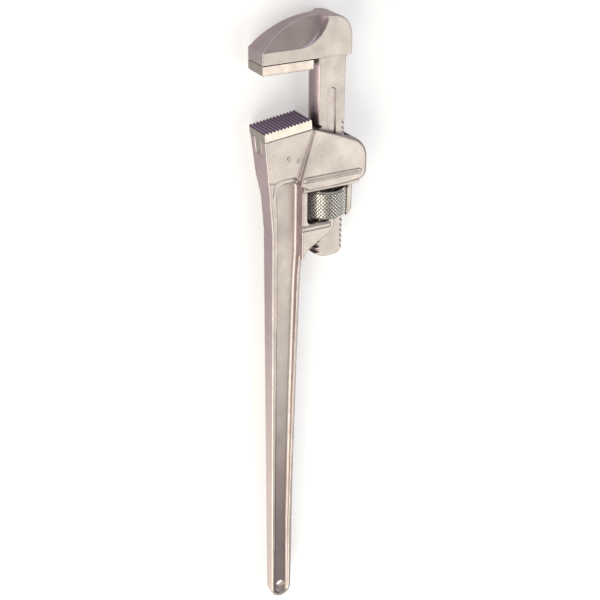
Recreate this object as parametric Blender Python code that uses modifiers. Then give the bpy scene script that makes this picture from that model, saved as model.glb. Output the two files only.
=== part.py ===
"""Straight pipe wrench of the 24 inch class, lying flat on one broad face.

Frame: +X runs from the hook jaw to the end of the handle, the jaws open towards -Y, and +Z is the
thickness. The origin is under the middle of the wrench. Lengths below are in millimetres, and MM
turns them into Blender's metres when a mesh is made.
"""
import math

import bmesh
import bpy
from mathutils import Matrix, Vector

MM = 0.001
GAP = 0.3                       # running or seating gap between two pieces

# Overall
END_X = 297.5                   # the hook jaw's crown is at -END_X, the handle's end at +END_X
SIDE_Y = 51.0                   # the jaw tips are at -SIDE_Y, the housing's back at +SIDE_Y

# Adjusting nut and thread
NUT_RADIUS = 18.5
NUT_LOW_X = -141.5
NUT_HIGH_X = -116.0
NUT_CHAMFER = 1.4
NUT_BORE = 14.1
MIDPLANE = NUT_RADIUS           # the nut is the thickest piece, so the wrench lies on it
SHANK_Y = 17.6                  # axis of the threaded shank and of the nut
PITCH = 5.08                    # five threads to the inch
THREAD_START_X = -202.5
THREAD_STEPS = 32
FLANK = 0.5                     # axial run of a thread's flank for each unit of depth
ROOT_RADIUS = 13.7
ROOT_HALF = 0.75                # half the width of the groove's floor
FLANK_PLAY = 0.35

# Hook jaw
SHANK_RADIUS = 15.6             # the shank is a round bar with two broad flats
SHANK_HALF = 9.4                # half the distance between the flats
SHANK_END_X = -77.0
SHANK_END_RADIUS = 30.0
HEAD_HALF = 13.3
HEAD_SEAT_X = -262.0            # where the toothed insert meets the head
HEAD_FRONT_TOP_X = -273.0
CROWN_RADIUS = 76.0
CROWN_FLAT = (5.0, 15.2)        # the crown is level between these two Y
HEAD_BACK_Y = 34.2
SCOOP_SLOPE = math.radians(17.5)
SCOOP_STEP = 0.3
SCOOP_SWEEP = 16.0               # radius of the sweep up to the scoop's back edge
SCOOP_LEVELS = (0.25, 0.8, 1.7, 2.9, 4.4, 6.2, 8.4)
INSERT_FACE_X = -253.0
INSERT_END_Y = -3.2
INSERT_TEETH = 20
INSERT_TOOTH_DEPTH = 1.6

# Heel jaw
HEEL_HALF = 14.6
HEEL_OUTER = (-205.3, -50.5)    # tips of the toothed face, at the mouth and by the shank
HEEL_INNER = (-211.5, -5.3)
SEAT_OUTER = (-196.6, -49.6)    # the seat in the casting
SEAT_INNER = (-201.9, -4.3)
HEEL_TEETH = 14
TONGUE_HALF = 5.2
SLOT_PLAY = 0.5
PIN_RADIUS = 1.1
PIN_PLAY = 0.2
PIN_PLACES = {"heel_jaw_pin_front": (-178.5, -26.5), "heel_jaw_pin_rear": (-174.5, -17.0)}

# Handle and housing
HANDLE_HALF_HEAD = 9.3          # half the thickness of the handle by the head and at its end
HANDLE_HALF_END = 6.0
TAPER_START_X = -112.0
WEB_HALF = 2.9
WEB_FILLET = 3.8
HANDLE_FRONT_Y = -40.0
HANDLE_END_RADIUS = 10.9
HANG_HOLE_RADIUS = 4.2
WEB_END_RADIUS = 8.2
PAD_HALF_LOW = 12.2             # half thickness at the heel pad's lower edge
PAD_LOW_X = -157.5
HOUSING_HALF = 16.6
FACET_WIDTH = 2.8                # facet between the heel pad and the housing
CHANNEL_HALF = 10.1
CHANNEL_FRONT_Y = -2.5
CHANNEL_BACK_Y = 37.0
LIP_X = -144.5
WINDOW_HIGH_X = -113.4
WINDOW_FRONT_Y = -7.3
FRAME_FRONT_Y = -12.6
FRAME_HALF = 13.4
TIP_X = -115.6                  # the shelf's upturned tips come this close to the nut
GUARD_Y = (34.0, 41.6)
GUARD_HOLLOW = 19.3             # the guard is hollowed round the nut
GUARD_HALF = 7.4
GUARD_END_X = -111.5
BEAD_X = (-159.0, -155.0)
BEAD_GROOVE_X = (-157.6, -156.4)
BEAD_HEIGHT = 0.9
RIB_X = -109.9
RIB_RADIUS = 3.3
RIB_END_Y = 15.5

# Springs
COIL_X = -163.0
COIL_RADIUS = 2.9
COIL_WIRE = 0.5
COIL_TURNS = 5
POCKET_RADIUS = 4.1
POCKET_FLOOR_Y = -13.0
LEAF_THICK = 0.8
LEAF_HALF = 4.5
RIVET_X = -189.0


# ---------------------------------------------------------------- scene helpers

def clear_scene():
    for thing in list(bpy.data.objects):
        bpy.data.objects.remove(thing, do_unlink=True)


def new_collection(name):
    group = bpy.data.collections.new(name)
    bpy.context.scene.collection.children.link(group)
    return group


def material(name, colour, metallic, roughness):
    """A Principled material with one colour."""
    made = bpy.data.materials.new(name)
    made.use_nodes = True
    shader = made.node_tree.nodes["Principled BSDF"]
    shader.inputs["Base Color"].default_value = (*colour, 1.0)
    shader.inputs["Metallic"].default_value = metallic
    shader.inputs["Roughness"].default_value = roughness
    made.diffuse_color = (*colour, 1.0)
    return made


def put_in(thing, group):
    for other in list(thing.users_collection):
        other.objects.unlink(thing)
    group.objects.link(thing)


def as_part(thing, finish):
    """Move a finished body to the wrench's own collection and give it its material."""
    put_in(thing, bpy.data.collections["pipe_wrench"])
    thing.data.materials.clear()
    thing.data.materials.append(finish)
    thing.data.shade_smooth()
    thing.data.set_sharp_from_angle(angle=math.radians(35))
    return thing


def as_tool(thing):
    """Keep a cutter or an added lump out of the model."""
    put_in(thing, bpy.data.collections["cutters"])
    thing.hide_render = True
    thing.display_type = "WIRE"
    return thing


def combine(body, operation, tools):
    """Add live Booleans that cut tools from a body or join them to it."""
    for tool in tools:
        step = body.modifiers.new(operation.lower() + "_" + tool.name, "BOOLEAN")
        step.operation = operation
        step.object = as_tool(tool)
        step.solver = "EXACT"
    return body


def cut(body, *tools):
    return combine(body, "DIFFERENCE", tools)


def join(body, *tools):
    return combine(body, "UNION", tools)


# ---------------------------------------------------------------- outlines

def arc(centre, radius, start, end, steps):
    """Points on an arc, from start to end in degrees, both ends included."""
    points = []
    for step in range(steps + 1):
        turn = math.radians(start + (end - start) * step / steps)
        points.append((centre[0] + radius * math.cos(turn), centre[1] + radius * math.sin(turn)))
    return points


def rounded(corners, steps=5):
    """An outline through corners (x, y) or (x, y, radius), each radius made a fillet."""
    points = []
    count = len(corners)
    for index, corner in enumerate(corners):
        here = Vector(corner[:2])
        if len(corner) < 3:
            points.append(tuple(here))
            continue
        back = (Vector(corners[index - 1][:2]) - here).normalized()
        ahead = (Vector(corners[(index + 1) % count][:2]) - here).normalized()
        half = back.angle(ahead) / 2
        centre = here + (back + ahead).normalized() * corner[2] / math.sin(half)
        reach = corner[2] / math.tan(half)
        first = here + back * reach - centre
        last = here + ahead * reach - centre
        sweep = first.angle_signed(last)
        for step in range(steps + 1):
            turn = -sweep * step / steps
            spoke = Matrix.Rotation(turn, 2) @ first
            points.append(tuple(centre + spoke))
    return points


def toothed_edge(start, end, teeth, depth):
    """A zigzag from start to end, its tips on the line and its roots to the left of it."""
    start, end = Vector(start), Vector(end)
    along = (end - start) / teeth
    inward = Vector((-along.y, along.x)).normalized() * depth
    points = []
    for tooth in range(teeth):
        points.append(tuple(start + along * tooth + inward))
        points.append(tuple(start + along * (tooth + 0.5)))
    points.append(tuple(end + inward))
    return points


# ---------------------------------------------------------------- solids

def mesh_of_curve(curve_object):
    """Turn a filled curve into a welded mesh object, and remove the curve."""
    bpy.context.view_layer.update()
    ready = curve_object.evaluated_get(bpy.context.evaluated_depsgraph_get())
    mesh = bpy.data.meshes.new_from_object(ready)
    shape = bmesh.new()
    shape.from_mesh(mesh)
    bmesh.ops.remove_doubles(shape, verts=shape.verts, dist=0.000002)
    bmesh.ops.dissolve_limit(shape, angle_limit=math.radians(0.05), verts=shape.verts, edges=shape.edges)
    bmesh.ops.recalc_face_normals(shape, faces=shape.faces)
    shape.to_mesh(mesh)
    shape.free()
    name = curve_object.name
    place = curve_object.matrix_world.copy()
    bpy.data.objects.remove(curve_object, do_unlink=True)
    solid = bpy.data.objects.new(name, mesh)
    solid.matrix_world = place
    bpy.context.scene.collection.objects.link(solid)
    return solid


def outline_solid(name, outline, thickness, matrix):
    """A flat outline given a thickness, as a filled curve made solid and placed by a matrix."""
    curve = bpy.data.curves.new(name, "CURVE")
    curve.dimensions = "2D"
    curve.fill_mode = "BOTH"
    curve.extrude = thickness / 2 * MM
    line = curve.splines.new("POLY")
    line.points.add(len(outline) - 1)
    for point, place in zip(line.points, outline):
        point.co = (place[0] * MM, place[1] * MM, 0, 1)
    line.use_cyclic_u = True
    thing = bpy.data.objects.new(name, curve)
    bpy.context.scene.collection.objects.link(thing)
    solid = mesh_of_curve(thing)
    solid.data.transform(matrix)
    return solid


def plate(name, outline, low, high):
    """A solid with its outline in plan, from low to high above the wrench's middle plane."""
    middle = (MIDPLANE + (low + high) / 2) * MM
    return outline_solid(name, outline, high - low, Matrix.Translation((0, 0, middle)))


def bar(name, section, low_x, high_x):
    """A solid with its section across the wrench, in Y and height, from low_x to high_x."""
    turn = Matrix(((0, 0, 1, 0), (1, 0, 0, 0), (0, 1, 0, 0), (0, 0, 0, 1)))
    place = Matrix.Translation(((low_x + high_x) / 2 * MM, 0, MIDPLANE * MM))
    return outline_solid(name, section, high_x - low_x, place @ turn)


def block(name, low, high):
    """A box between two corners, their heights taken from the middle plane."""
    outline = [(low[0], low[1]), (high[0], low[1]), (high[0], high[1]), (low[0], high[1])]
    return plate(name, outline, low[2], high[2])


def cylinder(name, start, end, radius, segments=24, spin=0.0):
    """A round bar between two points, their heights taken from the middle plane, its facets turned by spin."""
    start, end = Vector(start), Vector(end)
    bpy.ops.mesh.primitive_cylinder_add(vertices=segments, radius=radius * MM,
                                        depth=(end - start).length * MM)
    thing = bpy.context.object
    thing.name = name
    turn = (end - start).to_track_quat("Z", "Y").to_matrix().to_4x4() @ Matrix.Rotation(spin, 4, "Z")
    middle = (start + end) / 2 + Vector((0, 0, MIDPLANE))
    thing.data.transform(Matrix.Translation(middle * MM) @ turn)
    return thing


def chosen_bevel(thing, width, segments, wanted):
    """Round the edges that wanted(start, end) picks, both ends in millimetres from the middle plane."""
    weights = thing.data.attributes.new("bevel_weight_edge", "FLOAT", "EDGE")
    lift = Vector((0, 0, MIDPLANE))
    for edge in thing.data.edges:
        ends = [thing.data.vertices[index].co / MM - lift for index in edge.vertices]
        if wanted(*ends):
            weights.data[edge.index].value = 1.0
    step = thing.modifiers.new("rounded_edges", "BEVEL")
    step.limit_method = "WEIGHT"
    step.width = width * MM
    step.segments = segments
    step.use_clamp_overlap = True
    return thing


def chamfer(thing, width, wanted):
    """Cut a flat facet along the edges that wanted(start, end) picks."""
    lift = Vector((0, 0, MIDPLANE))
    shape = bmesh.new()
    shape.from_mesh(thing.data)
    edges = [edge for edge in shape.edges if wanted(*(vertex.co / MM - lift for vertex in edge.verts))]
    bmesh.ops.bevel(shape, geom=edges, offset=width * MM, segments=1, affect="EDGES", clamp_overlap=True)
    shape.to_mesh(thing.data)
    shape.free()
    return thing


def split_at(thing, x):
    """Add an edge loop across a solid at x, so that both sides of it can stay flat when one is thinned."""
    shape = bmesh.new()
    shape.from_mesh(thing.data)
    geometry = shape.verts[:] + shape.edges[:] + shape.faces[:]
    bmesh.ops.bisect_plane(shape, geom=geometry, dist=0.000001, plane_co=(x * MM, 0, 0), plane_no=(1, 0, 0))
    shape.to_mesh(thing.data)
    shape.free()
    return thing


def scale_heights(thing, factor_at):
    """Thin a solid along its length: factor_at(x) multiplies each height from the middle plane."""
    for vertex in thing.data.vertices:
        lift = vertex.co.z / MM - MIDPLANE
        vertex.co.z = (MIDPLANE + lift * factor_at(vertex.co.x / MM)) * MM
    return thing


def helix(name, profile, start_x, end_x):
    """A closed profile of (radius, axial offset) swept along the thread, as a capped solid."""
    turns = math.ceil((end_x - start_x) / PITCH)
    mesh = bpy.data.meshes.new(name)
    corners = [(radius * MM, 0, offset * MM) for radius, offset in profile]
    edges = [(index, (index + 1) % len(corners)) for index in range(len(corners))]
    mesh.from_pydata(corners, edges, [])
    thing = bpy.data.objects.new(name, mesh)
    bpy.context.scene.collection.objects.link(thing)
    sweep = thing.modifiers.new("thread", "SCREW")
    sweep.axis = "Z"
    sweep.angle = math.tau
    sweep.screw_offset = PITCH * MM
    sweep.iterations = turns
    sweep.steps = THREAD_STEPS
    sweep.render_steps = THREAD_STEPS
    sweep.use_merge_vertices = False
    bpy.context.view_layer.update()
    ready = thing.evaluated_get(bpy.context.evaluated_depsgraph_get())
    swept = bpy.data.meshes.new_from_object(ready)
    thing.modifiers.clear()
    thing.data = swept
    shape = bmesh.new()
    shape.from_mesh(swept)
    bmesh.ops.remove_doubles(shape, verts=shape.verts, dist=0.000002)
    open_edges = [edge for edge in shape.edges if edge.is_boundary]
    bmesh.ops.holes_fill(shape, edges=open_edges, sides=0)
    bmesh.ops.recalc_face_normals(shape, faces=shape.faces)
    shape.to_mesh(swept)
    shape.free()
    turn = Matrix(((0, 0, 1, 0), (1, 0, 0, 0), (0, 1, 0, 0), (0, 0, 0, 1)))
    place = Matrix.Translation((start_x * MM, SHANK_Y * MM, MIDPLANE * MM))
    swept.transform(place @ turn)
    return thing


# ---------------------------------------------------------------- hook jaw

def shank_section():
    """Round bar with two broad flats, as points in Y and height."""
    edge = math.degrees(math.asin(SHANK_HALF / SHANK_RADIUS))
    back = arc((SHANK_Y, 0), SHANK_RADIUS, -edge, edge, 10)
    front = arc((SHANK_Y, 0), SHANK_RADIUS, 180 - edge, 180 + edge, 10)
    return back + front


def head_outline():
    """The hook jaw's head in plan: seat, front, long crown arc and rounded back."""
    crown_y, level_y = CROWN_FLAT
    centre = (-END_X + CROWN_RADIUS, crown_y)
    start = math.degrees(math.atan2(-SIDE_Y - crown_y, HEAD_FRONT_TOP_X - centre[0]))
    crown = arc(centre, CROWN_RADIUS, start, -180, 14)
    corner_radius = HEAD_BACK_Y - level_y
    corner = arc((-END_X + corner_radius, level_y), corner_radius, 180, 90, 7)
    return [(HEAD_SEAT_X, -SIDE_Y), *crown, *corner, (HEAD_SEAT_X, HEAD_BACK_Y)]


def scoop_cutter(name, side):
    """The dished cut in one broad side of the head: its floor slopes inwards and sweeps up at the back."""
    seat = HEAD_HALF - SCOOP_STEP
    outline = rounded([(-272.6, -52.0), (-272.6, 12.0, 28.5), (-304.0, 12.0), (-304.0, -52.0)], steps=12)
    thing = plate(name, outline, seat, HEAD_HALF + 18.0)

    def reach(height):
        return math.sqrt(SCOOP_SWEEP ** 2 - (SCOOP_SWEEP - min(height, SCOOP_SWEEP)) ** 2)

    shape = bmesh.new()
    shape.from_mesh(thing.data)
    for level in SCOOP_LEVELS:
        bmesh.ops.bisect_plane(shape, geom=shape.verts[:] + shape.edges[:] + shape.faces[:],
                               plane_co=(0, 0, (MIDPLANE + seat + level) * MM), plane_no=(0, 0, 1))
    for vertex in shape.verts:
        wall = SCOOP_STEP + max(0.0, -272.6 - vertex.co.x / MM) * math.tan(SCOOP_SLOPE)
        height = max(0.0, vertex.co.z / MM - MIDPLANE - seat)
        if height < wall and vertex.co.y / MM > -20.0:
            vertex.co.y -= (reach(wall) - reach(height)) * MM
    bmesh.ops.triangulate(shape, faces=[face for face in shape.faces if abs(face.normal.z) < 0.9])
    shape.to_mesh(thing.data)
    shape.free()
    pivot = Vector((-272.6 * MM, 0, (MIDPLANE + seat) * MM))
    tilt = Matrix.Rotation(-SCOOP_SLOPE, 4, "Y")
    thing.data.transform(Matrix.Translation(pivot) @ tilt @ Matrix.Translation(-pivot))
    if side < 0:
        flip = Matrix.Translation((0, 0, 2 * MIDPLANE * MM)) @ Matrix.Scale(-1, 4, (0, 0, 1))
        thing.data.transform(flip)
        thing.data.flip_normals()
    return thing


def make_hook_jaw(finish):
    head = plate("hook_jaw", head_outline(), -HEAD_HALF, HEAD_HALF)
    chosen_bevel(head, 1.5, 2,
                 lambda a, b: abs(a.z - b.z) < 0.1 and min(a.y, b.y) > 12.0 and min(a.x, b.x) < HEAD_SEAT_X - 1)
    cut(head, scoop_cutter("scoop_top", 1), scoop_cutter("scoop_under", -1))

    shank = bar("shank", shank_section(), HEAD_SEAT_X - 3, SHANK_END_X)
    nose = arc((SHANK_END_X - SHANK_END_RADIUS, SHANK_Y), SHANK_END_RADIUS, -40, 40, 10)
    keep = plate("shank_end", [(HEAD_SEAT_X - 6, nose[0][1]), *nose, (HEAD_SEAT_X - 6, nose[-1][1])],
                 -SHANK_HALF - 4, SHANK_HALF + 4)
    combine(shank, "INTERSECT", [keep])
    groove = [(ROOT_RADIUS, -ROOT_HALF), (ROOT_RADIUS, ROOT_HALF)]
    mouth_radius = SHANK_RADIUS + 1.0
    mouth = ROOT_HALF + FLANK * (mouth_radius - ROOT_RADIUS)
    groove += [(mouth_radius, mouth), (mouth_radius, -mouth)]
    cut(shank, helix("thread_groove", groove, THREAD_START_X, SHANK_END_X + PITCH))
    for side, name in ((1, "keyway_top"), (-1, "keyway_under")):
        keyway = rounded([(-234.0, SHANK_Y - 4.0, 3.9), (-138.0, SHANK_Y - 4.0, 3.9),
                          (-138.0, SHANK_Y + 4.0, 3.9), (-234.0, SHANK_Y + 4.0, 3.9)])
        floor, outside = sorted((side * (SHANK_HALF - 1.3), side * (SHANK_HALF + 3)))
        cut(shank, plate(name, keyway, floor, outside))
    back = SHANK_Y + SHANK_RADIUS - 2.6
    flare = arc((HEAD_SEAT_X + 5.0, back + 4.6), 4.6, 180, 270, 5)
    flare_plate = plate("shank_flare", [(HEAD_SEAT_X - 1, back - 8), (HEAD_SEAT_X - 1, back + 4.2),
                                        (HEAD_SEAT_X + 0.4, back + 4.2), *flare[1:],
                                        (HEAD_SEAT_X + 5.0, back - 8)],
                        -SHANK_HALF + 0.4, SHANK_HALF - 0.4)
    join(head, flare_plate, shank)
    return as_part(head, finish)


def make_hook_insert(finish):
    teeth = toothed_edge((INSERT_FACE_X, -SIDE_Y), (INSERT_FACE_X, INSERT_END_Y), INSERT_TEETH,
                         INSERT_TOOTH_DEPTH)
    outline = teeth + [(HEAD_SEAT_X + GAP, INSERT_END_Y), (HEAD_SEAT_X + GAP, -SIDE_Y)]
    return as_part(plate("hook_jaw_insert", outline, -HEAD_HALF, HEAD_HALF), finish)


# ---------------------------------------------------------------- nut

def make_nut(finish):
    nut = cylinder("adjusting_nut", (NUT_LOW_X, SHANK_Y, 0), (NUT_HIGH_X, SHANK_Y, 0), NUT_RADIUS, 64)
    rim = NUT_RADIUS - 0.1
    chosen_bevel(nut, NUT_CHAMFER, 2,
                 lambda a, b: min((a.yz - Vector((SHANK_Y, 0))).length,
                                  (b.yz - Vector((SHANK_Y, 0))).length) > rim and abs(a.x - b.x) < 1)
    cut(nut, cylinder("nut_bore", (NUT_LOW_X - 5, SHANK_Y, 0), (NUT_HIGH_X + 5, SHANK_Y, 0), NUT_BORE, 47,
                      math.radians(1.7)))
    inside = NUT_BORE - 0.7
    outside = SHANK_RADIUS + 0.4
    widest = PITCH / 2 - ROOT_HALF + FLANK_PLAY

    def half_width(radius):
        return widest - FLANK * (radius - ROOT_RADIUS)

    groove = [(inside, -half_width(inside)), (inside, half_width(inside)),
              (outside, half_width(outside)), (outside, -half_width(outside))]
    turns_before = round((NUT_LOW_X - THREAD_START_X) / PITCH) - 2
    first = THREAD_START_X + (turns_before + 0.5) * PITCH
    cut(nut, helix("nut_thread", groove, first, NUT_HIGH_X + 2 * PITCH))
    return as_part(nut, finish)


# ---------------------------------------------------------------- heel jaw

def tongue_outline(play):
    """The tongue under the heel plate in plan: shallow at the mouth, with a deep lug for the pins."""
    floor_x = -182.6 + play
    lug_x = -169.6 + play
    return [(-199.0, -SIDE_Y - 4), (-199.0, -11.0 + play), (lug_x, -11.0 + play), (lug_x, -33.0 - play),
            (floor_x, -33.0 - play), (floor_x, -SIDE_Y - 4)]


def heel_front(x):
    """Y of the heel's front face at a place along the wrench."""
    return HEEL_OUTER[1] + (x - HEEL_OUTER[0]) * 0.109


def make_heel_jaw(finish):
    teeth = toothed_edge(HEEL_INNER, HEEL_OUTER, HEEL_TEETH, 1.9)
    outline = teeth + [SEAT_OUTER, SEAT_INNER]
    jaw = plate("heel_jaw", outline, -HEEL_HALF, HEEL_HALF)
    tongue = plate("heel_tongue", tongue_outline(0.0), -TONGUE_HALF, TONGUE_HALF)
    front = plate("heel_tongue_front", [(-203, heel_front(-203)), (-160, heel_front(-160)),
                                        (-160, 0), (-203, 0)], -TONGUE_HALF - 2, TONGUE_HALF + 2)
    combine(tongue, "INTERSECT", [front])
    join(jaw, tongue)
    for name, place in PIN_PLACES.items():
        hole = cylinder(name + "_hole", (*place, -20), (*place, 20), PIN_RADIUS + PIN_PLAY)
        cut(jaw, hole)
    return as_part(jaw, finish)


def make_heel_pins(finish):
    for name, place in PIN_PLACES.items():
        reach = pad_half(place[0]) - 0.2
        as_part(cylinder(name, (*place, -reach), (*place, reach), PIN_RADIUS), finish)


# ---------------------------------------------------------------- handle and housing casting

def handle_factor(x):
    """Thickness of the handle at x, as a share of its thickness by the head."""
    share = max(0.0, (x - TAPER_START_X) / (END_X - TAPER_START_X))
    return 1.0 + share * (HANDLE_HALF_END / HANDLE_HALF_HEAD - 1.0)


def pad_half(x):
    """Half the thickness of the heel pad at x."""
    share = (x - HEEL_OUTER[0]) / (PAD_LOW_X - HEEL_OUTER[0])
    return HEEL_HALF + share * (PAD_HALF_LOW - HEEL_HALF)


def handle_body():
    centre = (END_X - HANDLE_END_RADIUS, HANDLE_FRONT_Y - 0.2 + HANDLE_END_RADIUS)
    end = arc(centre, HANDLE_END_RADIUS, -88, 86, 14)
    back = [(168.5, -17.4), (110.5, -16.2), (12.5, -13.8), (-57.0, -11.7), (-78.0, -10.6, 14.0),
            (-90.0, -6.2), (-180.0, -6.2)]
    front = [(-180.0, -46.0), (-158.0, -45.0), (-141.0, -42.6, 40.0), (-108.0, HANDLE_FRONT_Y)]
    outline = rounded([*end, *back, *front])
    body = plate("handle_housing", outline, -HANDLE_HALF_HEAD, HANDLE_HALF_HEAD)
    scale_heights(split_at(body, TAPER_START_X), handle_factor)

    def on_rim(a, b):
        return abs(a.z) > 5 and abs(b.z) > 5 and a.z * b.z > 0 and max(a.x, b.x) > -150

    return chosen_bevel(body, 1.5, 2, on_rim)


def web_cutter(name, side):
    """The recess that leaves the handle an I-beam: rounded at both ends, with a filleted floor."""
    end = arc((END_X - HANDLE_END_RADIUS, HANDLE_FRONT_Y - 0.2 + HANDLE_END_RADIUS), WEB_END_RADIUS, -80, 80, 10)
    outline = rounded([(-154.5, -36.2, 9.0), (-154.5, -12.9, 7.0), (-86.0, -13.3), (-60.0, -15.0),
                       (67.0, -18.6), (205.0, -21.4), *reversed(end), (-120.0, -34.8)])
    floor = WEB_HALF
    thing = plate(name, outline, floor, floor + 22)
    chosen_bevel(thing, WEB_FILLET, 4, lambda a, b: a.z < floor + 0.1 and b.z < floor + 0.1)
    if side < 0:
        flip = Matrix.Translation((0, 0, 2 * MIDPLANE * MM)) @ Matrix.Scale(-1, 4, (0, 0, 1))
        thing.data.transform(flip)
        thing.data.flip_normals()
    return thing


def heel_pad():
    """The wide block under the heel jaw, thinner towards the handle."""
    outline = rounded([(SEAT_OUTER[0] + GAP, heel_front(SEAT_OUTER[0])), (PAD_LOW_X, heel_front(PAD_LOW_X)),
                       (-156.5, -39.0), (-158.6, -30.0), (-158.9, -20.0), (-155.5, -15.0),
                       (SEAT_INNER[0] + GAP, -2.6)])
    pad = plate("heel_pad", outline, -HEEL_HALF, HEEL_HALF)
    scale_heights(pad, lambda x: pad_half(x) / HEEL_HALF)

    def lower_edge(a, b):
        return min(a.x, b.x) > -160 and a.z * b.z > 0

    return chosen_bevel(pad, 1.3, 2, lower_edge)


def neck():
    """The taper from the heel pad's front down to the thinner handle."""
    start, end = -159.0, -137.0
    outline = [(start, heel_front(start) + 0.05), (end, -41.6), (start, -37.0)]
    thing = plate("neck", outline, -1.0, 1.0)
    low, high = HANDLE_HALF_HEAD - 0.4, PAD_HALF_LOW - 0.3
    return scale_heights(thing, lambda x: high if x < (start + end) / 2 else low)


def housing_block():
    """The housing's outside: sloping top edge, rounded back and a chamfered rim."""
    outline = rounded([(-201.6, -2.4), (-183.0, SIDE_Y, 21.0), (-147.5, SIDE_Y, 9.0), (-147.5, -8.0),
                       (-152.0, -16.4), (-155.0, -15.4)], steps=8)
    block_body = plate("housing_block", outline, -HOUSING_HALF, HOUSING_HALF)

    def front_rim(a, b):
        return abs(a.z - b.z) < 0.1 and max(a.y, b.y) < -2.0 and (a - b).length > 30

    def back_rim(a, b):
        return abs(a.z - b.z) < 0.1 and min(a.y, b.y) > 24.0

    return chosen_bevel(chamfer(block_body, FACET_WIDTH, front_rim), 4.2, 3, back_rim)


def housing_lip():
    """The thinner lower lip of the housing, above the nut."""
    outline = rounded([(-152.0, -12.0), (-152.0, 46.5), (LIP_X, 43.0, 4.0), (LIP_X, -12.0)])
    lip = plate("housing_lip", outline, -HOUSING_HALF + 1.6, HOUSING_HALF - 1.6)
    return chosen_bevel(lip, 3.0, 3, lambda a, b: abs(a.z - b.z) < 0.1 and min(a.x, b.x) > LIP_X - 0.1)


def bead(name, side):
    """A raised bead with a groove along its middle, across one cheek of the housing."""
    low, high = BEAD_X
    outline = rounded([(low, -13.0, 1.6), (high, -13.0, 1.6), (high, 44.0, 1.6), (low, 44.0, 1.6)], steps=4)
    floor, top = sorted((side * (HOUSING_HALF - 1.0), side * (HOUSING_HALF + BEAD_HEIGHT)))
    raised = plate(name, outline, floor, top)
    low, high = BEAD_GROOVE_X
    floor, top = sorted((side * (HOUSING_HALF + 0.1), side * (HOUSING_HALF + 3.0)))
    return cut(raised, block(name + "_groove", (low, -11.0, floor), (high, 42.0, top)))


def rear_guard():
    """The tongue behind the nut that hangs from the housing's back, hollowed to clear the nut."""
    outline = rounded([(-150.0, GUARD_Y[0]), (-150.0, GUARD_Y[1]), (GUARD_END_X - 6.5, GUARD_Y[1], 3.0),
                       (GUARD_END_X, GUARD_Y[0] + 3.0), (GUARD_END_X, GUARD_Y[0])])
    guard = plate("rear_guard", outline, -GUARD_HALF, GUARD_HALF)
    chosen_bevel(guard, 1.4, 2, lambda a, b: abs(a.z - b.z) < 0.1 and min(a.y, b.y) > GUARD_Y[0] + 0.1)
    return cut(guard, cylinder("guard_hollow", (LIP_X - 8, SHANK_Y, 0), (-100, SHANK_Y, 0), GUARD_HOLLOW, 48))


def window_frame():
    """The nut window's frame, the shelf under the nut and the gusset down to the handle.

    The slot for the shank later splits the shelf into a fork.
    """
    outline = rounded([(-150.0, FRAME_FRONT_Y), (-150.0, 14.0), (TIP_X, 14.0), (TIP_X, 17.6),
                       (-113.0, 20.4), (-104.8, 19.6, 2.5), (-88.0, -7.0, 12.0), (-80.0, -11.6),
                       (-80.0, FRAME_FRONT_Y)])
    frame = plate("window_frame", outline, -FRAME_HALF, FRAME_HALF)
    return chosen_bevel(frame, 0.6, 2, lambda a, b: abs(a.z - b.z) < 0.1 and max(a.x, b.x) > -149)


def shelf_rib(name, side):
    """The rounded rib along the edge of the shelf, on one broad side."""
    height = side * (FRAME_HALF - 1.8)
    return cylinder(name, (RIB_X, FRAME_FRONT_Y - 0.3, height), (RIB_X, RIB_END_Y, height), RIB_RADIUS, 18)


def make_casting(finish):
    body = handle_body()
    cut(body, web_cutter("web_top", 1), web_cutter("web_under", -1))
    join(body, heel_pad(), neck(), housing_block(), housing_lip(), bead("bead_top", 1),
         bead("bead_under", -1), rear_guard())
    join(body, window_frame(), shelf_rib("rib_top", 1), shelf_rib("rib_under", -1))
    channel = block("shank_channel", (-215.0, CHANNEL_FRONT_Y, -CHANNEL_HALF),
                    (LIP_X + 5, CHANNEL_BACK_Y, CHANNEL_HALF))
    window = plate("nut_window",
                   rounded([(LIP_X, WINDOW_FRONT_Y), (WINDOW_HIGH_X, WINDOW_FRONT_Y, 4.0),
                            (WINDOW_HIGH_X, 12.5, 4.0), (TIP_X, 16.2), (TIP_X, GUARD_Y[0] - 0.05),
                            (LIP_X, GUARD_Y[0] - 0.05)]), -24, 24)
    slot = block("fork_slot", (-122.0, WINDOW_FRONT_Y + 1.5, -CHANNEL_HALF), (-70.0, 36.0, CHANNEL_HALF))
    mouth = plate("tongue_slot", tongue_outline(SLOT_PLAY), -TONGUE_HALF - SLOT_PLAY, TONGUE_HALF + SLOT_PLAY)
    pocket = cylinder("spring_pocket", (COIL_X, POCKET_FLOOR_Y, 0), (COIL_X, 2.0, 0), POCKET_RADIUS)
    rivet_hole = cylinder("rivet_hole", (RIVET_X, -9.5, 0), (RIVET_X, 2.0, 0), 1.5 + GAP)
    hang = cylinder("hang_hole", (284.5, -29.0, -20), (284.5, -29.0, 20), HANG_HOLE_RADIUS, 28)
    cut(body, channel, window, slot, mouth, pocket, rivet_hole, hang)
    for name, place in PIN_PLACES.items():
        cut(body, cylinder(name + "_bore", (*place, -22), (*place, 22), PIN_RADIUS + PIN_PLAY))
    return as_part(body, finish)


# ---------------------------------------------------------------- springs

def leaf_y(x):
    """Y of the leaf spring's back face at x: held at the rivet, bowed out to the shank."""
    start, end = RIVET_X - 4.0, -150.0
    rise = SHANK_Y - SHANK_RADIUS - GAP - LEAF_THICK - (CHANNEL_FRONT_Y + GAP)
    if x < RIVET_X + 4.0:
        return CHANNEL_FRONT_Y + GAP
    share = (x - RIVET_X - 4.0) / (end - RIVET_X - 4.0)
    return CHANNEL_FRONT_Y + GAP + rise * math.sin(math.pi * 0.8 * share) * (1 if start < x else 0)


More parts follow.
